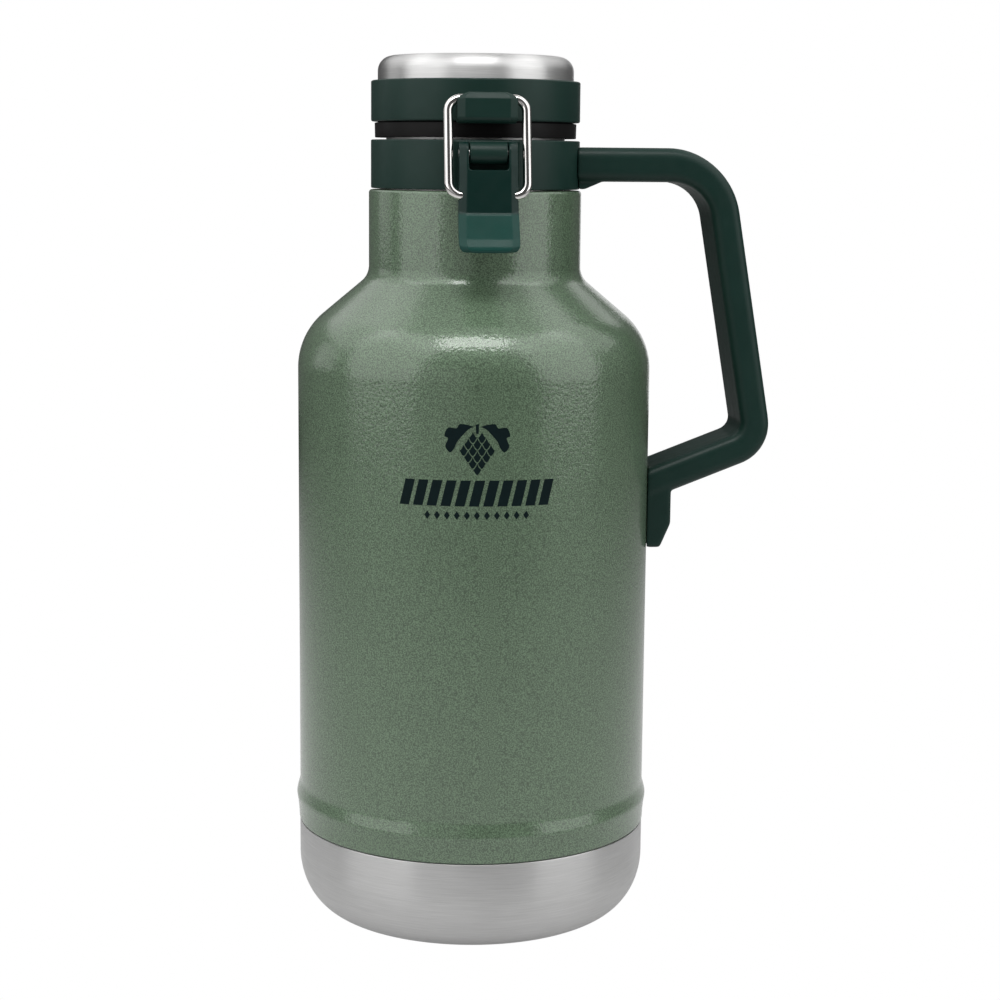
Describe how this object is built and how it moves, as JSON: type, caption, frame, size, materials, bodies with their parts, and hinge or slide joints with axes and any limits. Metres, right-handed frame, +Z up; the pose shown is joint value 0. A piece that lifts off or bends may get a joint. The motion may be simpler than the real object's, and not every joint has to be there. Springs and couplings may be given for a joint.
{
  "type": "growler",
  "caption": "Insulated steel bottle with a hinged lid, an over-centre wire latch, a plastic side handle and a bare steel base cup.",
  "frame": {"origin": "middle of the flat base, on the bottle's axis", "axes": "+Z up along the bottle's axis, +X towards the handle, -Y towards the latch, +Y towards the lid's hinge"},
  "size_m": [0.1625, 0.1222, 0.294],
  "materials": {
    "green_paint": "sage green hammertone powder coat with a clear gloss over a fine speckle",
    "brushed_steel": "stainless steel brushed round the axis",
    "bare_steel": "plain satin stainless steel",
    "wire": "polished stainless steel wire",
    "green_plastic": "satin moulded plastic, very dark green",
    "black_plastic": "satin black moulded plastic",
    "silicone": "matt dark silicone rubber",
    "foam": "rigid cream insulating foam"
  },
  "bodies": {
    "flask": {"outer_shell": "green_paint", "inner_vessel": "bare_steel", "vacuum_base_plate": "bare_steel", "getter_cap": "bare_steel", "base_cup": "brushed_steel", "neck_collar": "green_plastic", "handle": "green_plastic", "handle_bracket": "bare_steel", "handle_screw": "bare_steel", "collar_screw_1": "bare_steel", "collar_screw_2": "bare_steel", "latch_pin": "bare_steel", "hinge_pin": "bare_steel"},
    "lid": {"lid_band": "green_plastic", "lid_cap": "brushed_steel", "lid_liner": "black_plastic", "lid_foam": "foam", "lid_gasket": "silicone", "lid_screw_1": "bare_steel", "lid_screw_2": "bare_steel", "lid_screw_3": "bare_steel"},
    "lever": {"latch_lever": "green_plastic"},
    "bail": {"wire_bail": "wire"}
  },
  "joints": [
    {"name": "lid_hinge", "type": "hinge", "parent": "flask", "child": "lid", "pos_m": [0, 0.043, 0.269], "axis": [-1, 0, 0], "range_deg": [0, 110]},
    {"name": "latch_lever_pivot", "type": "hinge", "parent": "flask", "child": "lever", "pos_m": [0, -0.0422, 0.2618], "axis": [-1, 0, 0], "range_deg": [0, 120]},
    {"name": "bail_pivot", "type": "hinge", "parent": "lever", "child": "bail", "pos_m": [0, -0.0447, 0.2484], "axis": [-1, 0, 0], "range_deg": [-180, 0]}
  ],
  "couplings": [
    {"joint": "bail_pivot", "follows": "latch_lever_pivot", "ratio": -1.5}
  ]
}
